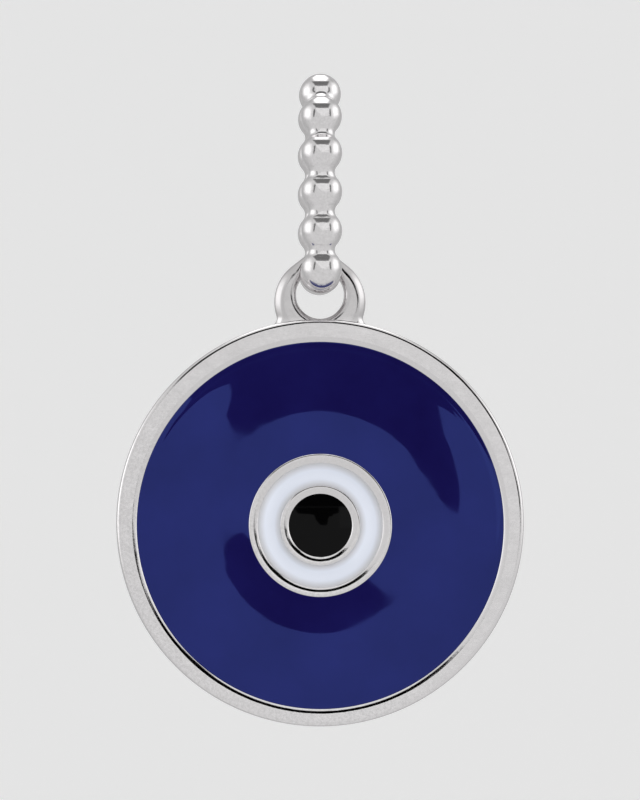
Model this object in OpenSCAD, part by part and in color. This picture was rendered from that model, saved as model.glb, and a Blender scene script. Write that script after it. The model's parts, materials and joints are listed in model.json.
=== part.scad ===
// Evil eye pendant: an enamelled silver disc that hangs by its loop from an oval bail of cast beads.
// Millimetres. +Z is up, the eye looks along -Y, and the origin is inside the top of the bail,
// on the neck between its two top beads, where a chain would carry the pendant.

/* [Disc] */
// Diameter of the disc
disc_d = 15; // [12:0.1:20]
// Thickness of the disc
disc_t = 1.3; // [1.1:0.05:2]
// Radius of the rounded front edge
front_edge_r = 0.15; // [0.05:0.01:0.25]
// Radius of the rounded back edge
back_edge_r = 0.25; // [0.05:0.01:0.35]

/* [Cells] */
// Diameter of the blue field
field_d = 13.5; // [11:0.1:14.2]
// How far the eye sits below the middle of the disc
field_drop = 0.1; // [0:0.01:0.2]
// Depth of the cells under the rim's face
cell_depth = 0.5; // [0.35:0.05:0.7]
// Outside diameter of the ring between blue and white
outer_ring_d = 5.3; // [4.6:0.1:7]
// Wall of the ring between blue and white
outer_ring_w = 0.36; // [0.25:0.01:0.45]
// Outside diameter of the ring between white and black
inner_ring_d = 2.98; // [2.4:0.01:3.4]
// Wall of the ring between white and black
inner_ring_w = 0.33; // [0.25:0.01:0.45]
// How far the rings stand out past the rim's face
ring_rise = 0.04; // [0:0.01:0.1]

/* [Enamel] */
// Diameter of the circle along which the blue field is highest
blue_crown_d = 8.3; // [7.4:0.1:9.6]
// Height of the blue field's crown over its outer edge
blue_dome = 0.06; // [0.05:0.01:0.2]
// How far the blue field's crown stands out past the rim's face
blue_rise = 0.02; // [0:0.01:0.08]
// Height of the white ring's crown over its edges
white_dome = 0.13; // [0.05:0.01:0.2]
// How far the white ring's crown stands out past the rim's face
white_rise = 0.07; // [0:0.01:0.1]
// Height of the pupil's crown over its edge
black_dome = 0.09; // [0.05:0.01:0.15]
// How far the pupil's crown stands out past the rim's face
black_rise = 0.04; // [0:0.01:0.08]
// Gap between enamel and metal
enamel_gap = 0.02; // [0.01:0.01:0.05]

/* [Loop] */
// Outside diameter of the loop
loop_d = 3.36; // [3:0.02:4]
// How far the middle of the loop's outside lies below the middle of its hole
loop_drop = 0.28; // [0:0.01:0.4]
// Thickness of the loop from front to back
loop_t = 0.9; // [0.7:0.05:1.1]
// Diameter of the hole
hole_d = 1.78; // [1.6:0.02:2]
// Metal left between the hole and the disc's edge
loop_web = 0.02; // [0.02:0.01:0.2]
// How far the bail's lower bar lies above the middle of the hole
bar_rise = 0.75; // [0.7:0.01:1]
// Wall of the loop where it passes over the bail's lower bar
loop_top_w = 0.34; // [0.3:0.01:0.5]

/* [Bail] */
// Diameter of a bead
bead_d = 1.5; // [1.3:0.02:1.7]
// Distance from bead to bead that the count of beads comes nearest to
bead_pitch = 1.42; // [1.3:0.01:1.6]
// Diameter of the neck between two beads
neck_d = 0.96; // [0.8:0.01:1.1]
// Height of the line that the beads follow
bail_h = 6.74; // [5.6:0.02:8]
// Depth of the bail between the middles of its front and back beads
bail_depth = 4.4; // [4:0.02:6]
// Radius of the beads' line round the bail's top
bail_top_r = 2.2; // [1.2:0.05:2.2]
// Radius of the beads' line at the bail's lower corners
bail_low_r = 0.4; // [0.3:0.05:1]
// Gap between the loop and the beads and neck that it swings on
swing_gap = 0.05; // [0.03:0.01:0.1]

/* [Hidden] */
$fn = 96;
EDGE_STEPS = 6;
DOME_STEPS = 12;
// Depth of a ring's root in the floor of the cells
RING_ROOT = 0.25;
// How far a cut runs past what it cuts
PAST = 1;

disc_r = disc_d / 2;
field_r = field_d / 2;
outer_ring_r = outer_ring_d / 2;
white_r = outer_ring_r - outer_ring_w;
inner_ring_r = inner_ring_d / 2;
black_r = inner_ring_r - inner_ring_w;
blue_crown_r = blue_crown_d / 2;

loop_r = loop_d / 2;
hole_r = hole_d / 2;
bead_r = bead_d / 2;
neck_r = neck_d / 2;
seat_r = neck_r + swing_gap;
loop_top_r = seat_r + loop_top_w;
bead_clear_r = bead_r + swing_gap;

// The bail's line has a round top, straight sides and a flat bottom with small corners. Its beads are
// spaced evenly along it, with a neck at the middle of the top and of the bottom.
top_r = min(bail_top_r, bail_depth / 2);
low_flat = bail_depth / 2 - bail_low_r;
low_bend = bail_low_r * PI / 2;
side_len = bail_h - bail_low_r - top_r;
top_bend = top_r * PI / 2;
top_flat = bail_depth / 2 - top_r;
half_len = low_flat + low_bend + side_len + top_bend + top_flat;
bead_count = 2 * round(half_len / bead_pitch);
bead_step = 2 * half_len / bead_count;
low_rise = half_point(bead_step / 2)[1];
top_rise = half_point(half_len - bead_step / 2)[1];

// Heights in the pendant's frame
top_bar_z = neck_r;
low_bar_z = top_bar_z - (top_rise - low_rise);
hole_z = low_bar_z - bar_rise;
disc_z = hole_z - hole_r - loop_web - disc_r;
eye_z = disc_z - field_drop;
front_y = -disc_t / 2;

// Point at a distance along the front half of the bail's line, from the middle of the bottom to the
// middle of the top, as [forward, up] from the bottom.
function half_point(s) =
    s < low_flat ? [s, 0]
    : s < low_flat + low_bend ?
        let (a = (s - low_flat) / bail_low_r * 180 / PI)
        [low_flat + bail_low_r * sin(a), bail_low_r * (1 - cos(a))]
    : s < low_flat + low_bend + side_len ? [bail_depth / 2, bail_low_r + s - low_flat - low_bend]
    : s < half_len - top_flat ?
        let (a = (s - (half_len - top_flat - top_bend)) / top_r * 180 / PI)
        [top_flat + top_r * cos(a), bail_h - top_r * (1 - sin(a))]
    : [half_len - s, bail_h];

// The same all round: the front half goes up, and the back half comes down.
function line_point(s) =
    s > half_len ? let (p = half_point(2 * half_len - s)) [-p[0], p[1]]
    : half_point(s);

function bead_place(i) =
    let (p = line_point((i + 0.5) * bead_step))
    [0, -p[0], low_bar_z - low_rise + p[1]];

// Points round a corner of a turned outline, a quarter turn from the angle given, as [radius, depth].
function rounded_corner(middle, edge_r, from) = [
    for (i = [0:EDGE_STEPS])
        let (a = from + 90 * i / EDGE_STEPS)
        middle + edge_r * [cos(a), sin(a)]
];

// Points of a domed face from one radius to another, highest along the crown's radius.
function dome_points(r_in, r_out, crown_r, dome, rise) =
    let (bend = dome / pow(max(r_out - crown_r, crown_r - r_in), 2))
    [
        for (i = [0:DOME_STEPS])
            let (r = r_in + (r_out - r_in) * i / DOME_STEPS)
            [r, bend * pow(r - crown_r, 2) - rise]
    ];

// Turns an outline of [radius, depth] points about the disc's axis, with depth counted from the rim's
// face towards the back.
module turned(points, z) {
    translate([0, front_y, z])
        rotate([-90, 0, 0])
        rotate_extrude()
        polygon(points);
}

// A straight round bar or hole along Y, through the whole thickness given.
module along_y(r, length, z) {
    translate([0, 0, z])
        rotate([90, 0, 0])
        cylinder(r = r, h = length, center = true);
}

// Two circles one above the other with the straight sides that touch both, as a plate along Y. A high
// circle that lies inside the low one leaves no sides.
module egg_plate(low_r, low_z, high_r, high_z, length) {
    rise = high_z - low_z;
    along_y(low_r, length, low_z);
    along_y(high_r, length, high_z);
    if (rise > low_r - high_r) {
        lean = asin((low_r - high_r) / rise);
        rotate([90, 0, 0])
            linear_extrude(length, center = true)
            polygon([
                [-low_r * cos(lean), low_z + low_r * sin(lean)],
                [low_r * cos(lean), low_z + low_r * sin(lean)],
                [high_r * cos(lean), high_z + high_r * sin(lean)],
                [-high_r * cos(lean), high_z + high_r * sin(lean)]
            ]);
    }
}

// Enamel in a cell from one radius to another, flat underneath and domed in front.
module enamel(r_in, r_out, crown_r, dome, rise) {
    inner = r_in > 0 ? r_in + enamel_gap : 0;
    outer = r_out - enamel_gap;
    turned(
        concat(
            dome_points(inner, outer, crown_r, dome, rise),
            [[outer, cell_depth], [inner, cell_depth]]
        ),
        eye_z
    );
}

module disc() {
    turned(
        concat(
            [[0, 0]],
            rounded_corner([disc_r - front_edge_r, front_edge_r], front_edge_r, -90),
            rounded_corner([disc_r - back_edge_r, disc_t - back_edge_r], back_edge_r, 0),
            [[0, disc_t]]
        ),
        disc_z
    );
}

// Raised wall between two cells, rooted in the floor of the cells.
module ring_wall(r_in, r_out) {
    turned(
        [[r_in, -ring_rise], [r_out, -ring_rise], [r_out, cell_depth + RING_ROOT], [r_in, cell_depth + RING_ROOT]],
        eye_z
    );
}

module loop() {
    difference() {
        egg_plate(loop_r, hole_z - loop_drop, loop_top_r, low_bar_z, loop_t);
        egg_plate(hole_r, hole_z, seat_r, low_bar_z, loop_t + PAST);
        for (side = [-1, 1])
            translate([0, side * bead_step / 2, low_bar_z])
                sphere(r = bead_clear_r);
    }
}

module case() {
    color("silver") {
        difference() {
            union() {
                disc();
                loop();
            }
            turned([[0, -PAST], [field_r, -PAST], [field_r, cell_depth], [0, cell_depth]], eye_z);
        }
        ring_wall(white_r, outer_ring_r);
        ring_wall(black_r, inner_ring_r);
    }
}

module blue_enamel() {
    color("#262f68")
        enamel(outer_ring_r, field_r, blue_crown_r, blue_dome, blue_rise);
}

module white_enamel() {
    color("#dee1eb")
        enamel(inner_ring_r, white_r, (inner_ring_r + white_r) / 2, white_dome, white_rise);
}

module black_enamel() {
    color("#1a191b")
        enamel(0, black_r, 0, black_dome, black_rise);
}

// Round bar from one point to another.
module neck(from, to) {
    run = to - from;
    translate(from)
        rotate([0, acos(run[2] / norm(run)), atan2(run[1], run[0])])
        cylinder(r = neck_r, h = norm(run));
}

module beaded_bail() {
    color("lightgray") {
        for (i = [0:bead_count - 1]) {
            translate(bead_place(i))
                sphere(r = bead_r);
            neck(bead_place(i), bead_place((i + 1) % bead_count));
        }
    }
}

beaded_bail();
case();
blue_enamel();
white_enamel();
black_enamel();
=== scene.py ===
"""Evil eye pendant: a silver disc with enamel in raised cells, on an oval bail cast as a ring of beads.

Laid out as an add-on and run as a script. Each piece is modelled in millimetres round the frame's own
places, then brought to metres. +Z is up, the eye looks along -Y, and the chain would pass along X.
"""

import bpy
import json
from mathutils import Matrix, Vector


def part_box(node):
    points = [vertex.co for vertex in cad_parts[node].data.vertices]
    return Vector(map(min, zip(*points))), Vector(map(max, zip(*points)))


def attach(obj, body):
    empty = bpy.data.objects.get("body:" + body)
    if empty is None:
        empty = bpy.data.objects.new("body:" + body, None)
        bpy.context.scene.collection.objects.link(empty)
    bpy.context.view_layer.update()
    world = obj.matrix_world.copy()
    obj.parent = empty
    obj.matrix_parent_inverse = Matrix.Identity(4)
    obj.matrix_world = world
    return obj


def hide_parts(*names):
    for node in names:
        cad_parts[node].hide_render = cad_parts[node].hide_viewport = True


bl_info = {
    "name": "Evil eye pendant",
    "version": (1, 0, 0),
    "blender": (4, 5, 0),
    "location": "3D View > Sidebar > Pendant",
    "description": "Builds an enamelled silver pendant on a beaded bail, with a plain studio round it",
    "category": "Add Mesh",
}

import json
import math
from contextlib import contextmanager

import bmesh
import bpy
from mathutils import Matrix, Vector

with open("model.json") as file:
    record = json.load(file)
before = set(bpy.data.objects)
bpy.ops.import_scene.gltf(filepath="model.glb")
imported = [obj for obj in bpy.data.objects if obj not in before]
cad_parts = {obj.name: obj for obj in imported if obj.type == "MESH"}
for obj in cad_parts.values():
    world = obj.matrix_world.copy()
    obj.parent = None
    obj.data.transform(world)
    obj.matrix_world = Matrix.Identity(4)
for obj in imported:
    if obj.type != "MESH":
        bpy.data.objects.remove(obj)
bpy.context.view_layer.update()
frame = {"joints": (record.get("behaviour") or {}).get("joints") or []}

# Millimetres in a metre
MM = 1000.0
# How near a point has to lie to a plane, and to a circle, to count as on it
NEAR = 1e-3
NEAR_CIRCLE = 1e-2
# The profile of a bevel that is more a chamfer than a quarter circle
SOFT_CHAMFER = 0.3
# Faces round the beads, the collars and the cove, the disc, and the smaller bars and balls
BEAD_SIDES = 160
ROUND_SIDES = 128
DISC_SIDES = 256
BAR_SIDES = 96
# Angles, in degrees, over which an edge stays sharp in silver and in enamel
SILVER_SHARP = 40
ENAMEL_SHARP = 60

# Places that come from the frame, in metres
CASE_LOW, CASE_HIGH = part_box("case")
BAIL_LOW, BAIL_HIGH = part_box("beaded_bail")
BLUE_LOW, BLUE_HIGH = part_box("blue_enamel")
WHITE_LOW, WHITE_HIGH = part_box("white_enamel")
BLACK_LOW, BLACK_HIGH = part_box("black_enamel")
HINGE = Vector(frame["joints"][0]["pos_m"])


def length(name, default, description, least=0.0):
    """A property that holds a length, with its default and least value in millimetres."""
    return bpy.props.FloatProperty(
        name=name, description=description, default=default / MM, min=least / MM, precision=6, unit="LENGTH"
    )


def colour(name, default, description):
    """A property that holds a linear colour."""
    return bpy.props.FloatVectorProperty(
        name=name, description=description, default=default, min=0.0, max=1.0, size=3, subtype="COLOR"
    )


def number(name, default, description):
    """A property that holds a plain number."""
    return bpy.props.FloatProperty(name=name, description=description, default=default, precision=4)


class PendantBailSizes(bpy.types.PropertyGroup):
    """Sizes of the ring of beads"""

    bead_diameter: length("Bead diameter", 1.5, "Diameter of one bead")
    neck_diameter: length("Neck diameter", 0.96, "Diameter between two beads")
    line_height: length("Line height", 6.74, "Height of the beads' line")
    corner_radius: length("Corner radius", 0.4, "Radius of the line's two lower corners")
    bead_count: bpy.props.IntProperty(
        name="Bead count", description="How many beads go round the bail", default=14, min=8, max=24
    )
    grain: length("Grain", 0.04, "Size of the fused ring's faces")


class PendantCaseSizes(bpy.types.PropertyGroup):
    """Sizes of the silver disc, its cells and its loop"""

    front_edge: length("Front edge", 0.15, "Radius of the rim's front edge")
    back_edge: length("Back edge", 0.25, "Radius of the back edge")
    lip: length("Lip", 0.29, "Radius of the rim's inner edge")
    cell_depth: length("Cell depth", 0.5, "Depth of the cells under the rim's face")
    cell_gap: length("Cell gap", 0.02, "The frame's gap between enamel and metal")
    outer_wall: length("Outer ring wall", 0.36, "Wall of the ring between blue and white")
    inner_wall: length("Inner ring wall", 0.33, "Wall of the ring between white and black")
    ring_rise: length("Ring rise", 0.04, "How far the rings stand out past the rim")
    ring_edge: length("Ring edge", 0.07, "Radius of the rings' edges that face out")
    ring_lip: length("Ring lip", 0.26, "Radius of the rings' edges that face in")
    loop_diameter: length("Loop diameter", 3.36, "Outside diameter of the loop")
    loop_thickness: length("Loop thickness", 0.9, "From the loop's front to its back")
    loop_edge: length("Loop edge", 0.26, "Radius of the loop's outer edge")
    loop_drop: length("Loop drop", 0.28, "How far the loop's outside sits below its hole")
    loop_top_wall: length("Loop top wall", 0.34, "Wall of the loop over the bail's bar")
    hole_diameter: length("Hole diameter", 1.78, "Diameter of the loop's hole")
    hole_edge: length("Hole edge", 0.14, "Width of the hole's eased edge")
    bar_rise: length("Bar rise", 0.75, "From the hole's middle up to the bar")
    seat_gap: length("Seat gap", 0.05, "Gap between loop and bail")
    fillet: length("Fillet", 0.25, "Radius of the fillets at the loop's foot")
    root_depth: length("Root depth", 0.46, "How far the loop's root reaches into the disc")
    grain: length("Grain", 0.03, "Size of the fused loop's faces")


class PendantEnamelSizes(bpy.types.PropertyGroup):
    """Sizes of the three enamels"""

    blue_crown: length("Blue crown diameter", 8.68, "Diameter of the blue field's crown")
    blue_dome: length("Blue dome", 0.06, "Height of the crown over the outer edge")
    blue_flank: number("Blue flank", 0.78, "Curve of the blue field inside its crown, against outside")
    white_dome: length("White dome", 0.13, "Height of the ring's crown over its edges")
    black_dome: length("Black dome", 0.066, "Height of the pupil's crown over its edge")
    blue_dip: length("Blue dip", 0.043, "How far the blue field dips along the rim")
    blue_dip_width: length("Blue dip width", 0.075, "How wide the dip along the rim is")
    meniscus: length("Meniscus", 0.03, "How far the white enamel climbs up the metal")
    meniscus_width: length("Meniscus width", 0.035, "How wide the climb along the metal is")


class PendantFinishes(bpy.types.PropertyGroup):
    """Colours of the metal and the enamels"""

    silver: colour("Silver", (0.905, 0.888, 0.894), "Polished silver")
    tarnish: colour("Tarnish", (0.54, 0.526, 0.528), "Silver dulled in the hollows")
    blue: colour("Blue", (0.008, 0.0058, 0.071), "Deep cobalt enamel")
    blue_thin: colour("Thin blue", (0.0113, 0.010, 0.10), "Cobalt enamel where it is thinner")
    blue_gloss: colour("Blue gloss", (0.167, 0.275, 0.955), "Tint of the gloss on the blue enamel")
    white: colour("White", (0.80, 0.84, 0.94), "White enamel")
    # The thin white is partly the greyer thin enamel over the metal and partly painted shade beside the
    # raised rings
    white_thin: colour("Thin and shaded white", (0.60, 0.60, 0.62), "White enamel where it is thin over the metal")
    black: colour("Black", (0.0008, 0.0008, 0.0009), "Black enamel")
    floor: colour("Floor", (0.80, 0.80, 0.80), "Paper of the floor")


class PendantStageSizes(bpy.types.PropertyGroup):
    """The camera, the floor and the light"""

    camera_azimuth: number("Camera azimuth", -1.8, "Degrees that the camera stands round from the front")
    camera_elevation: number("Camera elevation", -1.0, "Degrees that the camera stands above the pendant")
    camera_distance: length("Camera distance", 600.0, "From the lens to its aim")
    view_height: length("View height", 29.49, "Height of the view at the pendant")
    aim_right: length("Aim right", 0.005, "How far right the camera looks")
    aim_height: length("Aim height", -10.775, "Height the camera looks at", least=-100.0)
    floor_drop: length("Floor drop", 350.0, "How far the floor lies below the bail")
    cove_radius: length("Cove radius", 800.0, "Radius of the round paper cove")
    cove_height: length("Cove height", 900.0, "Height of the cove's wall over the floor")
    cove_bend: length("Cove bend", 180.0, "Radius of the bend from floor to wall")
    fill_strength: number("Fill strength", 3.5, "Strength of the soft lamp that lights the enamels")
    tent_radius: length("Tent radius", 2000.0, "Distance of the light tent's panels")


def millimetres(group):
    """The lengths of a group of sizes as a plain table in millimetres."""
    props = group.bl_rna.properties
    keys = [prop.identifier for prop in props if prop.type == "FLOAT" and prop.unit == "LENGTH"]
    return {key: getattr(group, key) * MM for key in keys}


def deselect_all():
    """Leaves nothing selected, in object mode."""
    if bpy.context.object and bpy.context.object.mode != "OBJECT":
        bpy.ops.object.mode_set(mode="OBJECT")
    bpy.ops.object.select_all(action="DESELECT")


def only(obj):
    """Selects one object alone and makes it active."""
    deselect_all()
    obj.select_set(True)
    bpy.context.view_layer.objects.active = obj


@contextmanager
def editing(obj):
    """Edit mode on one object, with all of it selected."""
    only(obj)
    bpy.ops.object.mode_set(mode="EDIT")
    bpy.ops.mesh.select_all(action="SELECT")
    yield
    bpy.ops.object.mode_set(mode="OBJECT")


def pick(kind, test):
    """Selects the edges or faces of the edited mesh that pass a test."""
    bpy.ops.mesh.select_mode(type=kind)
    bpy.ops.mesh.select_all(action="DESELECT")
    mesh = bmesh.from_edit_mesh(bpy.context.object.data)
    parts = {"EDGE": mesh.edges, "FACE": mesh.faces}[kind]
    found = [part for part in parts if test(part)]
    if not found:
        raise RuntimeError(f"nothing to pick on {bpy.context.object.name}")
    for part in found:
        part.select_set(True)
    bmesh.update_edit_mesh(bpy.context.object.data)


def bevelled(test, radius, segments, profile=0.5):
    """Bevels the edges that pass a test, to a quarter circle if the profile doesn't say otherwise."""
    pick("EDGE", test)
    bpy.ops.mesh.bevel(offset=radius, segments=segments, profile=profile, affect="EDGES")


def on_plane(axis, level):
    """A test for the edges that lie in the plane across an axis at a level."""
    return lambda edge: all(abs(v.co[axis] - level) < NEAR for v in edge.verts)


def named(name):
    """Names the object that an operator has just added, with its place in its mesh."""
    obj = bpy.context.object
    obj.name = name
    obj.data.name = name
    bpy.ops.object.transform_apply()
    return obj


def added(operator, name, **settings):
    """Adds a primitive by itself and names it."""
    deselect_all()
    operator(**settings)
    return named(name)


def joined(name, objects):
    """Joins objects into the first and names it."""
    deselect_all()
    for obj in objects:
        obj.select_set(True)
    bpy.context.view_layer.objects.active = objects[0]
    bpy.ops.object.join()
    return named(name)


def copied(obj, name):
    """A copy of an object with a mesh of its own."""
    only(obj)
    bpy.ops.object.duplicate()
    return named(name)


def set_at(obj, place, along):
    """Moves an object that lies along Z at the origin to a place and a direction."""
    obj.location = place
    obj.rotation_euler = along.to_track_quat("Z", "Y").to_euler()
    only(obj)
    return named(obj.name)


def removed(obj):
    """Deletes a helper object."""
    only(obj)
    bpy.ops.object.delete()


def modified(obj, kind, **settings):
    """Adds a modifier with its settings and applies it."""
    only(obj)
    modifier = obj.modifiers.new(kind.lower(), kind)
    for key, value in settings.items():
        setattr(modifier, key, value)
    bpy.ops.object.modifier_apply(modifier=modifier.name)


def combined(obj, other, operation):
    """Joins another solid to obj, or cuts it away, and deletes it. The result has to be closed."""
    modified(obj, "BOOLEAN", operation=operation, object=other, solver="MANIFOLD")
    mesh = bmesh.new()
    mesh.from_mesh(obj.data)
    gaps = [edge for edge in mesh.edges if len(edge.link_faces) != 2]
    mesh.free()
    if gaps:
        raise RuntimeError(f"{other.name} left {obj.name} open at {len(gaps)} edges")
    removed(other)


def smoothed(obj, sharp_over):
    """Smooth shading, with edges kept sharp where faces meet at over so many degrees."""
    only(obj)
    bpy.ops.object.shade_smooth_by_angle(angle=math.radians(sharp_over))


def handed_over(obj, body, node, material):
    """Brings a finished piece to metres, with its finish, on its body, in place of its node."""
    only(obj)
    obj.scale = (1.0 / MM,) * 3
    bpy.ops.object.transform_apply()
    obj.data.materials.clear()
    obj.data.materials.append(material)
    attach(obj, body)
    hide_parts(node)


def ball(name, radius, sides, place=(0, 0, 0)):
    """A round ball."""
    sphere = bpy.ops.mesh.primitive_uv_sphere_add
    return added(sphere, name, segments=sides, ring_count=sides // 2, radius=radius, location=place)


def bar(name, radius, front, back, height, sides, far_radius=None):
    """A round bar along Y from front to back, or a cone if its far radius differs."""
    return added(
        bpy.ops.mesh.primitive_cone_add,
        name,
        vertices=sides,
        radius1=radius if far_radius is None else far_radius,
        radius2=radius,
        depth=back - front,
        location=(0, (front + back) / 2, height),
        rotation=(math.radians(90), 0, 0),
    )


def turned(name, profile, height, steps):
    """Turns a closed profile of (radius, depth) points about the axis along Y at a height."""
    turning = added(bpy.ops.mesh.primitive_circle_add, name, vertices=len(profile))
    for vertex, (radius, depth) in zip(turning.data.vertices, profile):
        vertex.co = (radius, depth, height)
    with editing(turning):
        bpy.ops.mesh.spin(
            steps=steps, angle=math.tau, center=(0, 0, height), axis=(0, 1, 0), use_auto_merge=True
        )
        bpy.ops.mesh.select_all(action="SELECT")
        bpy.ops.mesh.remove_doubles()
        bpy.ops.mesh.delete_loose()
        bpy.ops.mesh.select_all(action="SELECT")
        bpy.ops.mesh.normals_make_consistent()
    return turning


# The bail: beads along an arch with a flat foot, with a filleted neck between each two


def bail_line(sizes):
    """The stretches of the bail's line up its front, in millimetres: the half flat, the lower corner, the
    straight side and the radius of the round top, and then the flat's height."""
    top = ((BAIL_HIGH.y - BAIL_LOW.y) * MM - sizes["bead_diameter"]) / 2
    corner = sizes["corner_radius"]
    return top - corner, corner, sizes["line_height"] - corner - top, top, HINGE.z * MM


def half_length(line):
    """The length of the line from the middle of its flat to the middle of its top."""
    flat, corner, side, top, _ = line
    return flat + corner * math.pi / 2 + side + top * math.pi / 2


def line_place(distance, line):
    """The place on the bail's line at a distance from the middle of its flat, going up the front."""
    flat, corner, side, top, low_z = line
    if distance > half_length(line):
        mirror = line_place(2 * half_length(line) - distance, line)
        return Vector((0, -mirror.y, mirror.z))
    if distance < flat:
        return Vector((0, -distance, low_z))
    distance -= flat
    if distance < corner * math.pi / 2:
        angle = distance / corner
        return Vector((0, -flat - corner * math.sin(angle), low_z + corner * (1 - math.cos(angle))))
    distance -= corner * math.pi / 2
    if distance < side:
        return Vector((0, -top, low_z + corner + distance))
    angle = (distance - side) / top
    return Vector((0, -top * math.cos(angle), low_z + corner + side + top * math.sin(angle)))


def bead_places(sizes, count):
    """The middles of the beads, spaced evenly, with a neck at the middle of the flat."""
    line = bail_line(sizes)
    step = 2 * half_length(line) / count
    return [line_place((i + 0.5) * step, line) for i in range(count)]


def neck_collar(bead_r, neck_r, reach):
    """A collar along Z whose hollow side runs smoothly into the bead at each end."""
    hollow = (reach**2 + neck_r**2 - bead_r**2) / (2 * (bead_r - neck_r))
    middle_to_end = reach * hollow / (bead_r + hollow)
    end_r = bead_r * (neck_r + hollow) / (bead_r + hollow)
    cylinder = bpy.ops.mesh.primitive_cylinder_add
    collar = added(cylinder, "collar", vertices=ROUND_SIDES, radius=end_r, depth=2 * middle_to_end)
    ring = added(
        bpy.ops.mesh.primitive_torus_add,
        "ring_cutter",
        major_radius=neck_r + hollow,
        minor_radius=hollow,
        major_segments=ROUND_SIDES,
        minor_segments=ROUND_SIDES,
    )
    combined(collar, ring, "DIFFERENCE")
    return collar


class PENDANT_OT_bail(bpy.types.Operator):
    """Casts the bail: beads and necks fused into one ring"""

    bl_idname = "pendant.bail"
    bl_label = "Beaded bail"

    def execute(self, context):
        group = context.scene.pendant_bail
        sizes = millimetres(group)
        bead_r = sizes["bead_diameter"] / 2
        places = bead_places(sizes, group.bead_count)
        bead = ball("bead", bead_r, BEAD_SIDES)
        shells = []
        for here, there in zip(places, places[1:] + places[:1]):
            shells.append(set_at(copied(bead, "bead"), here, Vector((0, 0, 1))))
            run = there - here
            collar = neck_collar(bead_r, sizes["neck_diameter"] / 2, run.length / 2)
            shells.append(set_at(collar, (here + there) / 2, run))
        removed(bead)
        true_form = joined("bail_form", shells)
        bail = copied(true_form, "cast_bail")
        modified(bail, "REMESH", mode="VOXEL", voxel_size=sizes["grain"])
        modified(bail, "SHRINKWRAP", target=true_form)
        modified(bail, "SMOOTH", factor=0.5, iterations=2)
        removed(true_form)
        only(bail)
        bpy.ops.object.shade_smooth()
        finish = silver_finish("bail_silver", context.scene.pendant_finishes)
        handed_over(bail, "bail", "beaded_bail", finish)
        return {"FINISHED"}


# The case: a disc with sunk cells, raised rings and a loop. Lengths are in millimetres.

# How far the fillets' faces lie behind the loop's, and how deep the fillets are rooted
WEDGE_STEP = 0.05
WEDGE_ROOT = 0.7
# The share of its edge's radius that the loop has at its narrow top
TOP_EDGE_SHARE = 0.6
# How far a cutter runs past the wall it eases, so that no two faces lie on each other
PAST_WALL = 0.02


def disc_blank(sizes, disc_r, front, back, disc_z):
    """The plain disc with its two rounded edges."""
    disc = bar("silver_case", disc_r, front, back, disc_z, DISC_SIDES)
    for plane, radius in ((front, sizes["front_edge"]), (back, sizes["back_edge"])):
        with editing(disc):
            bevelled(on_plane(1, plane), radius, 8)
    return disc


def round_edge(plane, radius, eye_z):
    """A test for the edges of the circle round the eye at a depth and radius."""

    def test(edge):
        on_circle = [
            abs(v.co.y - plane) < NEAR and abs(math.hypot(v.co.x, v.co.z - eye_z) - radius) < NEAR_CIRCLE
            for v in edge.verts
        ]
        return all(on_circle)

    return test


def cut_cells(disc, sizes, radii, front, disc_z, eye_z, disc_r):
    """Sinks the cells into the disc's front and raises the rings between them."""
    field_r, outer_out, outer_in, inner_out, inner_in = radii
    with editing(disc):
        pick("FACE", lambda face: face.normal.y < 0 and len(face.verts) == DISC_SIDES)
        bpy.ops.mesh.inset(thickness=disc_r - sizes["front_edge"] - field_r, depth=0)
        bpy.ops.transform.translate(value=(0, 0, eye_z - disc_z))
        bpy.ops.mesh.extrude_region_move(TRANSFORM_OT_translate={"value": (0, sizes["cell_depth"], 0)})
        for outer, inner in zip(radii, radii[1:]):
            bpy.ops.mesh.inset(thickness=outer - inner, depth=0)
        floor = front + sizes["cell_depth"]

        def ring_top(face):
            middle = face.calc_center_median()
            reach = math.hypot(middle.x, middle.z - eye_z)
            on_ring = outer_in < reach < outer_out or inner_in < reach < inner_out
            return abs(middle.y - floor) < NEAR and on_ring

        pick("FACE", ring_top)
        lift = sizes["cell_depth"] + sizes["ring_rise"]
        bpy.ops.mesh.extrude_region_move(TRANSFORM_OT_translate={"value": (0, -lift, 0)})
        bevelled(round_edge(front, field_r, eye_z), sizes["lip"], 12)
        for radius, edge in zip(radii[1:], (sizes["ring_edge"], sizes["ring_lip"]) * 2):
            bevelled(round_edge(front - sizes["ring_rise"], radius, eye_z), edge, 8)


def egg(name, low, high, front, back, edge=(0.0, 0.0), flare=0.0):
    """Two round bars, each as (radius, height), and all that lies between them. The edges may be rounded,
    by a radius for each bar, and a flare widens it towards the front."""
    bars = []
    for (radius, height), rounding in zip((low, high), edge):
        piece = bar("egg_bar", radius + flare, front, back, height, BAR_SIDES, far_radius=radius)
        if rounding:
            with editing(piece):
                bevelled(lambda e: abs(e.verts[0].co.y - e.verts[1].co.y) < NEAR, rounding, 6, SOFT_CHAMFER)
        bars.append(piece)
    whole = joined(name, bars)
    with editing(whole):
        bpy.ops.mesh.convex_hull()
    return whole


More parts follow.
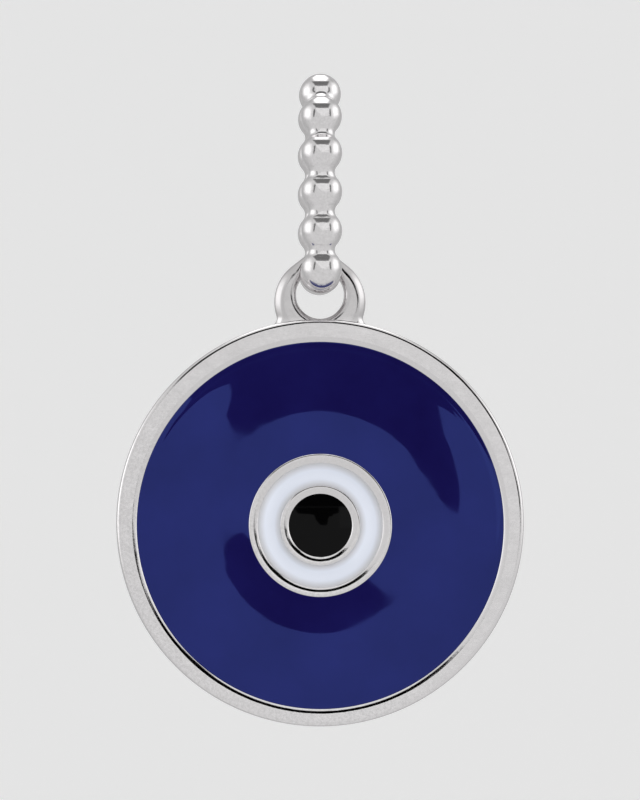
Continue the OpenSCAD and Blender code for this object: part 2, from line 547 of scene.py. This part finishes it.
def fillet_wedge(sizes, disc_r, disc_z, loop_r, loop_z, side):
    """The small hollow fillet in the corner between the disc's edge and the loop's outside. It is a little
    thinner than the loop, and its edges are as soft as the loop's."""
    fillet = sizes["fillet"]
    thickness = sizes["loop_thickness"] - 2 * WEDGE_STEP
    reach = fillet + WEDGE_ROOT
    apart = loop_z - disc_z
    disc_reach = disc_r + fillet
    loop_reach = loop_r + fillet
    up = (disc_reach**2 - loop_reach**2 + apart**2) / (2 * apart)
    middle = Vector((side * math.sqrt(disc_reach**2 - up**2), 0, disc_z + up))
    to_disc = (Vector((0, 0, disc_z)) - middle).normalized()
    to_loop = (Vector((0, 0, loop_z)) - middle).normalized()
    corners = (middle, middle + to_disc * reach, middle + to_loop * reach)
    wedge = added(bpy.ops.mesh.primitive_circle_add, "wedge", vertices=3, fill_type="NGON")
    for vertex, corner in zip(wedge.data.vertices, corners):
        vertex.co = corner - Vector((0, thickness / 2, 0))
    with editing(wedge):
        bpy.ops.mesh.extrude_region_move(TRANSFORM_OT_translate={"value": (0, thickness, 0)})
        bpy.ops.mesh.select_all(action="SELECT")
        bpy.ops.mesh.normals_make_consistent()
    hollow = bar("hollow", fillet, -thickness, thickness, middle.z, BAR_SIDES)
    hollow.location.x = middle.x
    only(hollow)
    combined(wedge, named("hollow"), "DIFFERENCE")

    def hollow_edge(edge):
        here, there = (v.co - middle for v in edge.verts)
        on_hollow = all(abs(math.hypot(co.x, co.z) - fillet) < NEAR for co in (here, there))
        return on_hollow and abs(here.y - there.y) < NEAR

    with editing(wedge):
        bevelled(hollow_edge, sizes["loop_edge"] - WEDGE_STEP, 6, SOFT_CHAMFER)
    return wedge


def cast_loop(sizes, disc_r, disc_z, bead_r, neck_r, bead_half_step):
    """The loop: an egg-shaped plate with soft edges, opened for the bail's bar and the beads beside it."""
    bar_z = HINGE.z * MM
    hole_z = bar_z - sizes["bar_rise"]
    half = sizes["loop_thickness"] / 2
    seat_r = neck_r + sizes["seat_gap"]
    loop_r = sizes["loop_diameter"] / 2
    loop_z = hole_z - sizes["loop_drop"]
    hole_r = sizes["hole_diameter"] / 2
    low = (loop_r, loop_z)
    high = (seat_r + sizes["loop_top_wall"], bar_z)
    edge = (sizes["loop_edge"], sizes["loop_edge"] * TOP_EDGE_SHARE)
    loop = egg("loop", low, high, -half, half, edge=edge)
    combined(loop, egg("hole", (hole_r, hole_z), (seat_r, bar_z), -2 * half, 2 * half), "DIFFERENCE")
    front = -half - sizes["hole_edge"]
    reach = 2 * sizes["hole_edge"] + PAST_WALL
    low_mouth = (hole_r - PAST_WALL, hole_z)
    high_mouth = (seat_r - PAST_WALL, bar_z)
    for turn in (0.0, math.pi):
        mouth = egg("mouth", low_mouth, high_mouth, front, front + reach, flare=reach)
        mouth.rotation_euler.z = turn
        only(mouth)
        combined(loop, named("mouth"), "DIFFERENCE")
    for side in (-1, 1):
        place = (0, side * bead_half_step, bar_z)
        combined(loop, ball("bead_room", bead_r + sizes["seat_gap"], BAR_SIDES, place), "DIFFERENCE")
    wedges = [fillet_wedge(sizes, disc_r, disc_z, loop_r, loop_z, side) for side in (-1, 1)]
    with editing(loop):
        bpy.ops.mesh.bisect(
            plane_co=(0, 0, disc_z + disc_r - sizes["root_depth"]),
            plane_no=(0, 0, 1),
            use_fill=True,
            clear_inner=True,
        )
    loop = joined("loop", [loop] + wedges)
    modified(loop, "REMESH", mode="VOXEL", voxel_size=sizes["grain"])
    modified(loop, "SMOOTH", factor=0.5, iterations=25)
    return loop


class PENDANT_OT_case(bpy.types.Operator):
    """Casts the case: the disc with its cells and rings, and the loop on top"""

    bl_idname = "pendant.case"
    bl_label = "Silver case"

    def execute(self, context):
        sizes = millimetres(context.scene.pendant_case)
        bail = context.scene.pendant_bail
        bail_sizes = millimetres(bail)
        disc_r = (CASE_HIGH.x - CASE_LOW.x) / 2 * MM
        disc_z = CASE_LOW.z * MM + disc_r
        back = CASE_HIGH.y * MM
        front = -back
        eye_z, radii = cell_radii(sizes)
        disc = disc_blank(sizes, disc_r, front, back, disc_z)
        cut_cells(disc, sizes, wall_radii(sizes, radii), front, disc_z, eye_z, disc_r)
        places = bead_places(bail_sizes, bail.bead_count)
        half_step = (places[0] - places[-1]).length / 2
        loop = cast_loop(
            sizes, disc_r, disc_z, bail_sizes["bead_diameter"] / 2, bail_sizes["neck_diameter"] / 2, half_step
        )
        combined(disc, loop, "UNION")
        smoothed(disc, SILVER_SHARP)
        # So that flat faces look flat
        modified(disc, "WEIGHTED_NORMAL", mode="FACE_AREA", weight=60, keep_sharp=True)
        disc_span = (CASE_LOW.z, (disc_z + disc_r) / MM)
        finish = silver_finish("case_silver", context.scene.pendant_finishes, disc=disc_span)
        handed_over(disc, "disc", "case", finish)
        return {"FINISHED"}


# The enamels, turned to their domes

# The share of a lip's radius that the enamel covers
LIP_UNDER_ENAMEL = 0.3
# How far the enamel runs into the metal beside it, in millimetres
SINK = 0.01


def cell_radii(sizes):
    """The eye's height, and the radii from the blue field's edge inwards to the pupil's wall."""
    gap = sizes["cell_gap"]
    eye_z = (BLUE_LOW.z + BLUE_HIGH.z) / 2 * MM
    field_r = (BLUE_HIGH.x - BLUE_LOW.x) / 2 * MM + gap
    outer_in = (WHITE_HIGH.x - WHITE_LOW.x) / 2 * MM + gap
    inner_in = (BLACK_HIGH.x - BLACK_LOW.x) / 2 * MM + gap
    outer_out = outer_in + sizes["outer_wall"]
    inner_out = inner_in + sizes["inner_wall"]
    return eye_z, (field_r, outer_out, outer_in, inner_out, inner_in)


def wall_radii(sizes, radii):
    """The radii of the cells' walls. A wall with a rounded lip stands further in, so that the part of the
    lip that the enamel leaves in sight begins at the frame's radius."""
    field_r, outer_out, outer_in, inner_out, inner_in = radii
    sunk = LIP_UNDER_ENAMEL * sizes["ring_lip"]
    return field_r - LIP_UNDER_ENAMEL * sizes["lip"], outer_out, outer_in - sunk, inner_out, inner_in - sunk


def dome_profile(inner, outer, wall, crown, dome, flank, heights, points):
    """A closed profile of (radius, depth) points: domed in front, turned up or down along the metal, and
    narrowing under the lip to its cell's wall. The inner and outer edges are given as (radius, climb up the
    metal, width of the climb), the wall as (radius, depth) and the crown as a radius. The flank is the curve
    inside the crown against outside, and the heights are those of the crown and the floor."""
    r_in, climb_in, width_in = inner
    r_out, climb_out, width_out = outer
    crown_y, floor_y = heights
    bend = dome / max(r_out - crown, crown - r_in) ** 2
    profile = []
    for i in range(points + 1):
        share = (1 - math.cos(math.pi * i / points)) / 2
        radius = r_in + (r_out - r_in) * share
        climb = climb_out * math.exp((radius - r_out) / width_out)
        climb += climb_in * math.exp((r_in - radius) / width_in)
        curve = bend * (flank if radius < crown else 1.0)
        profile.append((radius, crown_y + curve * (radius - crown) ** 2 - climb))
    return profile + [wall, (wall[0], floor_y), (r_in, floor_y)]


class PENDANT_OT_enamels(bpy.types.Operator):
    """Fills the cells: the blue field, the white ring and the black pupil"""

    bl_idname = "pendant.enamels"
    bl_label = "Enamels"

    def execute(self, context):
        sizes = millimetres(context.scene.pendant_enamels)
        case = millimetres(context.scene.pendant_case)
        finishes = context.scene.pendant_finishes
        eye_z, radii = cell_radii(case)
        field_r, outer_out, outer_in, inner_out, inner_in = radii
        field_wall, _, outer_wall, _, inner_wall = wall_radii(case, radii)
        front = CASE_LOW.y * MM
        floor_y = front + case["cell_depth"]
        ring_top = front - case["ring_rise"]
        meniscus = (sizes["meniscus"], sizes["meniscus_width"])
        level = (0.0, sizes["meniscus_width"])
        dip = (-sizes["blue_dip"], sizes["blue_dip_width"])
        flank = context.scene.pendant_enamels.blue_flank
        # Inner and outer edge, wall, crown's radius, dome, flank, crown's depth, and faces across and round
        fields = (
            ("blue_field", "blue_enamel", blue_finish, (outer_out - SINK, *level), (field_r + SINK, *dip),
             (field_wall + SINK, front + case["lip"]), sizes["blue_crown"] / 2, sizes["blue_dome"],
             flank, BLUE_LOW.y, 128, 256),
            ("white_ring", "white_enamel", white_finish, (inner_out - SINK, *meniscus),
             (outer_in + SINK, *meniscus), (outer_wall + SINK, ring_top + case["ring_lip"]),
             (inner_out + outer_in) / 2, sizes["white_dome"], 1.0, WHITE_LOW.y, 48, 192),
            ("black_pupil", "black_enamel", black_finish, (0.0, *level), (inner_in + SINK, *level),
             (inner_wall + SINK, ring_top + case["ring_lip"]), 0.0, sizes["black_dome"],
             1.0, BLACK_LOW.y, 40, 160),
        )
        for name, node, finish, inner, outer, wall, crown, dome, curve, crown_y, points, steps in fields:
            profile = dome_profile(inner, outer, wall, crown, dome, curve, (crown_y * MM, floor_y), points)
            field = turned(name, profile, eye_z, steps)
            smoothed(field, ENAMEL_SHARP)
            handed_over(field, "disc", node, finish(finishes))
        return {"FINISHED"}


# Finishes. A pair is the two ends of a range. Lengths are in millimetres.

# What noise mostly keeps to, and the finer noise of the specks
NOISE_SPAN = (0.3, 0.7)
SPECK_SPAN = (0.35, 0.65)
SILVER_ROUGHNESS = (0.06, 0.14)
BLUE_ROUGHNESS = (0.005, 0.025)
WHITE_ROUGHNESS = (0.06, 0.12)
BLACK_ROUGHNESS = (0.03, 0.06)
# Pointiness where a hollow begins and is full, and the share of tarnish there
HOLLOW_SPAN = (0.46, 0.40)
HOLLOW_TARNISH = 0.55
# Share of tarnish in the least and the most worn specks
SPECK_TARNISH = (0.0, 0.3)
# On the disc: that share's middle at its foot and top, which makes the disc darker towards its top, and its
# swing where it is brushed and smooth
DISC_DARKENING = (0.09, 0.26)
DISC_GRAIN = (0.19, 0.05)
# Heights over the disc's top where the loop's darkening begins and is full, and how much of the tarnish
# colour it takes there
LOOP_FADE = (-0.05, 0.1)
LOOP_DARKENING = 0.45
# How far the white's crown lies outside the middle between the white's and the pupil's outer edges
WHITE_CROWN_OFF = 0.17
# How far from its crown the white enamel begins to grey and is greyest, as thinner enamel over the metal and
# as painted shade beside the raised rings
WHITE_THIN_AND_SHADE_SPAN = (0.17, 0.42)


def empty_tree(owner):
    """Gives a material or a world an empty tree of nodes."""
    owner.use_nodes = True
    owner.node_tree.nodes.clear()
    return owner.node_tree


def new_material(name, inputs=None):
    """A material with a Principled shader, its node tree, that shader, and places on its object."""
    material = bpy.data.materials.new(name)
    tree = empty_tree(material)
    shader = node(tree, "ShaderNodeBsdfPrincipled", inputs)
    node(tree, "ShaderNodeOutputMaterial", {"Surface": shader.outputs["BSDF"]})
    return material, tree, shader, node(tree, "ShaderNodeTexCoord").outputs["Object"]


def node(tree, kind, inputs=None, **settings):
    """Adds a node. Its inputs are values or the outputs of other nodes."""
    made = tree.nodes.new(kind)
    for key, value in settings.items():
        setattr(made, key, value)
    for key, value in (inputs or {}).items():
        if isinstance(value, bpy.types.NodeSocket):
            tree.links.new(value, made.inputs[key])
        else:
            made.inputs[key].default_value = value
    return made


def noise(tree, place, scale, detail=2.0, roughness=0.5, stretch=(1.0, 1.0, 1.0), turn=(0.0, 0.0, 0.0)):
    """Noise with a scale in lumps a millimetre, and a stretch and turn of its own."""
    scales = tuple(MM * part for part in stretch)
    mapping = node(tree, "ShaderNodeMapping", {"Vector": place, "Rotation": turn, "Scale": scales})
    inputs = {"Vector": mapping.outputs["Vector"], "Scale": scale, "Detail": detail, "Roughness": roughness}
    return node(tree, "ShaderNodeTexNoise", inputs).outputs["Fac"]


def maths(tree, operation, *values, kind="", output="Value"):
    """The result of an operation on numbers, or on vectors if that is the kind."""
    made = node(tree, f"ShaderNode{kind}Math", dict(enumerate(values)), operation=operation)
    return made.outputs[output]


def ranged(tree, value, low, high, to_low, to_high, **settings):
    """Maps a value from one range to another."""
    inputs = {"Value": value, "From Min": low, "From Max": high, "To Min": to_low, "To Max": to_high}
    return node(tree, "ShaderNodeMapRange", inputs, **settings).outputs["Result"]


def mixed(tree, share, first, second):
    """Mixes two colours."""
    made = node(tree, "ShaderNodeMix", data_type="RGBA")
    for socket, value in ((made.inputs[0], share), (made.inputs[6], first), (made.inputs[7], second)):
        if isinstance(value, bpy.types.NodeSocket):
            tree.links.new(value, socket)
        else:
            socket.default_value = (*value, 1.0) if hasattr(value, "__len__") else value
    return made.outputs[2]


def bumped(tree, height, distance, strength, under=None):
    """A bump whose distance is in millimetres, over another bump if one is given."""
    inputs = {"Height": height, "Distance": distance / MM, "Strength": strength}
    if under is not None:
        inputs["Normal"] = under
    return node(tree, "ShaderNodeBump", inputs).outputs["Normal"]


def dressed(tree, shader, tone, clouds, roughness, normal):
    """Gives a shader its colour, its normal and a roughness that noise varies between two values."""
    rough = ranged(tree, clouds, *NOISE_SPAN, *roughness)
    for key, source in (("Base Color", tone), ("Roughness", rough), ("Normal", normal)):
        tree.links.new(source, shader.inputs[key])


def silver_finish(name, colours, disc=None):
    """Polished silver: cloudy polish, fine scratches, and a duller tone in the hollows. A disc, given by its
    lowest and highest height, is also duller towards its top and above it, and brushed at its lower left."""
    material, tree, shader, place = new_material(name, {"Metallic": 1.0})
    hollow = node(tree, "ShaderNodeNewGeometry").outputs["Pointiness"]
    clouds = noise(tree, place, 0.9, detail=4.0, roughness=0.6)
    dull = ranged(tree, hollow, *HOLLOW_SPAN, 0.0, HOLLOW_TARNISH)
    least, most = SPECK_TARNISH
    if disc is not None:
        low, high = disc
        height = node(tree, "ShaderNodeSeparateXYZ", {"Vector": place}).outputs["Z"]
        middle = (low + high) / 2
        # The disc grows darker towards its top
        height_darkening = ranged(tree, height, low, high, *DISC_DARKENING)
        aside = maths(tree, "DOT_PRODUCT", place, (1.0, 0.0, 1.0), kind="Vector")
        grain = ranged(tree, aside, (low + middle) / 2, middle, *DISC_GRAIN)
        least = maths(tree, "SUBTRACT", height_darkening, grain)
        most = maths(tree, "ADD", height_darkening, grain)
    fine_noise = noise(tree, place, 9.0, detail=5.0, roughness=0.7)
    specks = ranged(tree, fine_noise, *SPECK_SPAN, least, most)
    worn = mixed(tree, specks, colours.silver, colours.tarnish)
    tone = mixed(tree, dull, worn, colours.tarnish)
    if disc is not None:
        # The loop is darker above the disc's top
        begins, full = (high + fade / MM for fade in LOOP_FADE)
        share = ranged(tree, height, begins, full, 0.0, LOOP_DARKENING)
        tone = mixed(tree, share, tone, colours.tarnish)
    dents = bumped(tree, noise(tree, place, 1.6), 0.012, 0.5)
    scratches = noise(tree, place, 4.0, detail=3.0, stretch=(1.0, 1.0, 14.0), turn=(0.0, 0.7, 0.3))
    fine = bumped(tree, scratches, 0.002, 0.35, under=dents)
    dressed(tree, shader, tone, clouds, SILVER_ROUGHNESS, fine)
    return material


def blue_finish(colours):
    """Deep cobalt enamel: glassy, a little uneven, with a colour that shifts with its thickness."""
    gloss = {"IOR": 2.0, "Specular Tint": (*colours.blue_gloss, 1.0)}
    material, tree, shader, place = new_material("blue_enamel", gloss)
    depth = noise(tree, place, 0.35, detail=3.0)
    thin = ranged(tree, depth, *NOISE_SPAN, 0.0, 1.0)
    tone = mixed(tree, thin, colours.blue, colours.blue_thin)
    polish = noise(tree, place, 1.2, detail=3.0)
    flow = bumped(tree, noise(tree, place, 0.4, detail=1.5), 0.004, 0.5)
    dressed(tree, shader, tone, polish, BLUE_ROUGHNESS, flow)
    return material


def white_finish(colours):
    """White enamel: glossy, and greyer towards its two edges, where it is thin over the metal and where the
    shade beside the raised rings is painted into its colour.
    """
    material, tree, shader, place = new_material("white_enamel", {"IOR": 1.5})
    eye_z = (BLUE_LOW.z + BLUE_HIGH.z) / 2
    from_eye = maths(tree, "SUBTRACT", place, (0.0, 0.0, eye_z), kind="Vector", output="Vector")
    across = maths(tree, "MULTIPLY", from_eye, (1.0, 0.0, 1.0), kind="Vector", output="Vector")
    radius = maths(tree, "LENGTH", across, kind="Vector")
    crown = (WHITE_HIGH.x + BLACK_HIGH.x) / 2 + WHITE_CROWN_OFF / MM
    aside = maths(tree, "ABSOLUTE", maths(tree, "SUBTRACT", radius, crown))
    # Greyer towards both edges: partly thin enamel over the metal, partly painted shade beside the raised
    # rings
    thin = ranged(tree, aside, *(far / MM for far in WHITE_THIN_AND_SHADE_SPAN), 0.0, 1.0)
    tone = mixed(tree, thin, colours.white, colours.white_thin)
    clouds = noise(tree, place, 1.5, detail=4.0)
    flow = bumped(tree, noise(tree, place, 1.5), 0.004, 0.5)
    dressed(tree, shader, tone, clouds, WHITE_ROUGHNESS, flow)
    return material


def black_finish(colours):
    """Black enamel, glassy."""
    material, tree, shader, place = new_material("black_enamel", {"Specular IOR Level": 0.13})
    clouds = noise(tree, place, 1.5, detail=3.0)
    tone = mixed(tree, clouds, colours.black, tuple(2 * part for part in colours.black))
    flow = bumped(tree, noise(tree, place, 1.0), 0.003, 0.5)
    dressed(tree, shader, tone, clouds, BLACK_ROUGHNESS, flow)
    return material


def paper_finish(colours):
    """Plain pale paper of the floor and cove."""
    tone = (*colours.floor, 1.0)
    inputs = {"Base Color": tone, "Emission Color": tone, "Emission Strength": PAPER_GLOW}
    return new_material("pale_paper", inputs | {"Roughness": 0.9, "Specular IOR Level": 0.0})[0]


def light_finish(name, brightness, softness, cover):
    """The even glow of a panel of the light tent. It fades out within a share of its width and height, and
    covers a share of what is behind it."""
    material = bpy.data.materials.new(name)
    tree = empty_tree(material)
    place = node(tree, "ShaderNodeSeparateXYZ", {"Vector": node(tree, "ShaderNodeTexCoord").outputs["UV"]})
    masks = []
    for axis in ("X", "Y"):
        inside = maths(tree, "PINGPONG", place.outputs[axis], 0.5)
        masks.append(ranged(tree, inside, 0.0, softness, 0.0, 1.0, interpolation_type="SMOOTHSTEP"))
    covered = maths(tree, "MULTIPLY", maths(tree, "MULTIPLY", *masks), cover)
    clear = node(tree, "ShaderNodeBsdfTransparent")
    glow = node(tree, "ShaderNodeEmission", {"Strength": brightness})
    inputs = {0: covered, 1: clear.outputs["BSDF"], 2: glow.outputs["Emission"]}
    shown = node(tree, "ShaderNodeMixShader", inputs)
    node(tree, "ShaderNodeOutputMaterial", {"Surface": shown.outputs["Shader"]})
    return material


# The stage: camera, floor and a light tent. The tent's parts are given by where they show in a polished ball
# in front of the camera, in shares of its radius, as rows of (height, left, right) from below upwards.

# Brightness of the tent's cloth in front and behind, between these shares of the way from front to back
TENT_FRONT = 0.85
TENT_BACK = 0.62
CLOTH_SPAN = (-0.2, 0.6)
# Brightness that the camera sees beside the floor, and the paper's own glow
PALE = 0.82
PAPER_GLOW = 0.36
# The pieces that the soft lamp lights, and the lamp's turn and spread in degrees
ENAMELS = ("blue_field", "white_ring", "black_pupil")
FILL_TURN = (65, 0, -8)
FILL_SPREAD = 60
# Faces across a part of the tent, and between two of its rows
ACROSS_STEPS = 12
ROW_STEPS = 6
# The soft boxes: brightness, the share over which the edges fade, and the rows
TENT_PANELS = {
    "left_box": (
        1.4, 0.45, ((-0.24, -0.84, -0.43), (0.0, -0.95, -0.42), (0.3, -0.93, -0.40), (0.62, -0.76, -0.43))
    ),
    "right_box": (
        1.4, 0.45, ((-0.20, 0.50, 0.80), (0.1, 0.46, 0.93), (0.4, 0.45, 0.89), (0.68, 0.48, 0.73))
    ),
    "roof_box": (1.6, 0.2, ((0.62, -0.36, 0.36), (0.80, -0.46, 0.46), (0.95, -0.22, 0.22))),
}
# The seams between the boxes, which only the bail sees: the share over which the edges fade, and the rows.
# Then the share of the cloth behind that they hide.
SEAMS = {
    "roof_seam": (0.1, ((0.39, -0.28, 0.37), (0.50, -0.36, 0.42), (0.64, -0.50, 0.49))),
    "left_seam": (0.2, ((-0.08, -0.43, -0.35), (0.39, -0.38, -0.27))),
    "right_seam": (0.2, ((-0.05, 0.40, 0.48), (0.39, 0.36, 0.46))),
}
SEAM_DEPTH = 0.75
# Three dark cards: the pieces that see them as bright as the cloth, and the rows, counted from where the
# disc's flat face mirrors. All other pieces see them dark. Then the share over which their edges fade, and
# how far out they stand, against the boxes.
DARK_CARDS = {
    "lens_card": (
        ("cast_bail", "silver_case"),
        (
            (0.0003, 0.004, 0.0205), (0.0009, -0.001, 0.022), (0.0024, -0.003, 0.0236),
            (0.006, -0.0065, 0.025), (0.012, -0.012, 0.0268), (0.0185, -0.0172, 0.027),
            (0.0305, -0.0215, 0.0315), (0.0325, -0.0225, 0.043), (0.0365, -0.0245, 0.045),
            (0.039, -0.038, 0.047), (0.041, -0.08, 0.056), (0.05, -0.09, 0.08), (0.066, -0.095, 0.1),
        ),
    ),
    "roof_card": (
        ("cast_bail",),
        ((0.064, -0.08, 0.12), (0.12, -0.13, 0.35), (0.30, -0.32, 0.42), (0.45, -0.30, 0.36)),
    ),
    "side_card": (
        ("cast_bail", *ENAMELS),
        ((-0.01, 0.07, 0.09), (0.03, 0.066, 0.34), (0.066, 0.062, 0.42)),
    ),
}
CARD_EDGE = 0.02
CARD_REACH = 1.05


def camera_axes(stage):
    """The camera's right, up and back directions."""
    azimuth = math.radians(stage.camera_azimuth)
    elevation = math.radians(stage.camera_elevation)
    back = Vector((
        math.sin(azimuth) * math.cos(elevation),
        -math.cos(azimuth) * math.cos(elevation),
        math.sin(elevation),
    ))
    right = Vector((0, 0, 1)).cross(back).normalized()
    return right, back.cross(right), back


def mirrored(across, up, axes):
    """The direction that a polished ball shows at a place on it, in shares of its radius."""
    right, above, back = axes
    facing = math.sqrt(max(0.0, 1 - across**2 - up**2))
    normal = right * across + above * up + back * facing
    return 2 * facing * normal - back


def tent_panel(name, brightness, softness, rows, axes, centre, radius, cover=1.0):
    """One part of the tent, a grid laid on a far sphere."""
    gaps = len(rows) - 1
    grid = bpy.ops.mesh.primitive_grid_add
    panel = added(grid, name, x_subdivisions=ACROSS_STEPS, y_subdivisions=ROW_STEPS * gaps, size=2.0)
    for vertex in panel.data.vertices:
        share = (vertex.co.x + 1) / 2
        level = (vertex.co.y + 1) / 2 * gaps
        low = min(int(level + NEAR), gaps - 1)
        part = level - low
        up, left, right = (a + (b - a) * part for a, b in zip(rows[low], rows[low + 1]))
        vertex.co = centre + mirrored(left + (right - left) * share, up, axes) * radius
    panel.data.materials.append(light_finish(name, brightness, softness, cover))
    panel.visible_camera = False
    return panel


def face_mirror(stage):
    """Where the disc's flat face shows in the polished ball, as seen from the camera, as (across, up)."""
    disc_z = CASE_LOW.z + (CASE_HIGH.x - CASE_LOW.x) / 2
    dip = (disc_z - stage.aim_height) / (2 * stage.camera_distance)
    return -math.sin(math.radians(stage.camera_azimuth)), dip - math.sin(math.radians(stage.camera_elevation))


def lit_only(light, names):
    """Lets a panel or lamp light only the pieces named. All others see it dark."""
    receivers = bpy.data.collections.new(f"{light.name}_receivers")
    for name in names:
        receivers.objects.link(bpy.data.objects[name])
    light.light_linking.receiver_collection = receivers


class PENDANT_OT_stage(bpy.types.Operator):
    """Sets the camera, the floor and the light"""

    bl_idname = "pendant.stage"
    bl_label = "Stage"

    def execute(self, context):
        scene = context.scene
        stage = scene.pendant_stage
        axes = camera_axes(stage)
        right, above, back = axes
        aim = Vector((stage.aim_right, 0, stage.aim_height))
        deselect_all()
        bpy.ops.object.camera_add(location=aim + back * stage.camera_distance)
        camera = context.object
        camera.name = "camera"
        camera.rotation_euler = Matrix((right, above, back)).transposed().to_euler()
        camera.data.lens = camera.data.sensor_width * stage.camera_distance / stage.view_height
        camera.data.clip_start = 0.01
        camera.data.clip_end = 10.0
        scene.camera = camera
        self.cove(scene, stage)
        centre = Vector((0, 0, stage.aim_height))
        radius = stage.tent_radius
        for name, (brightness, softness, rows) in TENT_PANELS.items():
            tent_panel(name, brightness, softness, rows, axes, centre, radius)
        for name, (softness, rows) in SEAMS.items():
            seam = tent_panel(name, TENT_FRONT, softness, rows, axes, centre, radius, cover=SEAM_DEPTH)
            lit_only(seam, ("silver_case", *ENAMELS))
        across, up = face_mirror(stage)
        for name, (lit, rows) in DARK_CARDS.items():
            placed = [(height + up, left + across, right + across) for height, left, right in rows]
            card = tent_panel(name, TENT_FRONT, CARD_EDGE, placed, axes, centre, CARD_REACH * radius)
            lit_only(card, lit)
        self.fill(stage)
        self.sky(scene)
        scene.view_settings.view_transform = "Standard"
        scene.view_settings.look = "None"
        return {"FINISHED"}

    def fill(self, stage):
        """A broad soft lamp from the front that lights the enamels and shows in no reflection."""
        deselect_all()
        bpy.ops.object.light_add(type="SUN")
        lamp = bpy.context.object
        lamp.name = "front_fill"
        lamp.rotation_euler = [math.radians(turn) for turn in FILL_TURN]
        lamp.data.energy = stage.fill_strength
        lamp.data.angle = math.radians(FILL_SPREAD)
        lamp.visible_glossy = False
        lit_only(lamp, ENAMELS)

    def cove(self, scene, stage):
        """The floor, which bends up into a round wall, and which only the camera sees."""
        cove = added(
            bpy.ops.mesh.primitive_cylinder_add,
            "paper_cove",
            vertices=ROUND_SIDES,
            radius=stage.cove_radius,
            depth=stage.cove_height,
            location=(0, 0, stage.cove_height / 2 - stage.floor_drop),
        )
        with editing(cove):
            pick("FACE", lambda face: face.normal.z > 0 and len(face.verts) == ROUND_SIDES)
            bpy.ops.mesh.delete(type="FACE")
            bevelled(on_plane(2, -stage.floor_drop), stage.cove_bend, 16)
            bpy.ops.mesh.select_all(action="SELECT")
            bpy.ops.mesh.flip_normals()
        only(cove)
        bpy.ops.object.shade_smooth()
        cove.data.materials.append(paper_finish(scene.pendant_finishes))
        for kind in ("diffuse", "glossy", "transmission", "shadow"):
            setattr(cove, f"visible_{kind}", False)

    def sky(self, scene):
        """The tent's cloth: even in front, dimmer behind, and pale where the camera sees it."""
        scene.world = bpy.data.worlds.new("tent")
        tree = empty_tree(scene.world)
        direction = node(tree, "ShaderNodeTexCoord").outputs["Generated"]
        parts = node(tree, "ShaderNodeSeparateXYZ", {"Vector": direction})
        cloth = ranged(tree, parts.outputs["Y"], *CLOTH_SPAN, TENT_FRONT, TENT_BACK)
        seen = node(tree, "ShaderNodeLightPath").outputs["Is Camera Ray"]
        glow = ranged(tree, seen, 0.0, 1.0, cloth, PALE)
        background = node(tree, "ShaderNodeBackground", {"Strength": glow})
        node(tree, "ShaderNodeOutputWorld", {"Surface": background.outputs["Background"]})


class PENDANT_PT_panel(bpy.types.Panel):
    """Lists the sizes and the makers of the pendant"""

    bl_label = "Evil eye pendant"
    bl_idname = "PENDANT_PT_panel"
    bl_space_type = "VIEW_3D"
    bl_region_type = "UI"
    bl_category = "Pendant"

    def draw(self, context):
        for key, (_, operator) in GROUPS.items():
            box = self.layout.box()
            group = getattr(context.scene, key)
            for prop in group.bl_rna.properties.keys():
                if prop not in ("rna_type", "name"):
                    box.prop(group, prop)
            if operator:
                box.operator(operator)


# The groups of sizes and finishes by their names on the scene, each with its maker
GROUPS = {
    "pendant_bail": (PendantBailSizes, "pendant.bail"),
    "pendant_case": (PendantCaseSizes, "pendant.case"),
    "pendant_enamels": (PendantEnamelSizes, "pendant.enamels"),
    "pendant_finishes": (PendantFinishes, None),
    "pendant_stage": (PendantStageSizes, "pendant.stage"),
}
CLASSES = (
    *(kind for kind, _ in GROUPS.values()),
    PENDANT_OT_bail, PENDANT_OT_case, PENDANT_OT_enamels, PENDANT_OT_stage, PENDANT_PT_panel,
)


def register():
    """Registers the classes and puts the sizes on the scene."""
    for kind in CLASSES:
        bpy.utils.register_class(kind)
    for key, (kind, _) in GROUPS.items():
        setattr(bpy.types.Scene, key, bpy.props.PointerProperty(type=kind))


def unregister():
    """Takes away what register added."""
    for key in GROUPS:
        delattr(bpy.types.Scene, key)
    for kind in reversed(CLASSES):
        bpy.utils.unregister_class(kind)


def main():
    register()
    bpy.ops.pendant.bail()
    bpy.ops.pendant.case()
    bpy.ops.pendant.enamels()
    bpy.ops.pendant.stage()


if __name__ == "__main__":
    main()
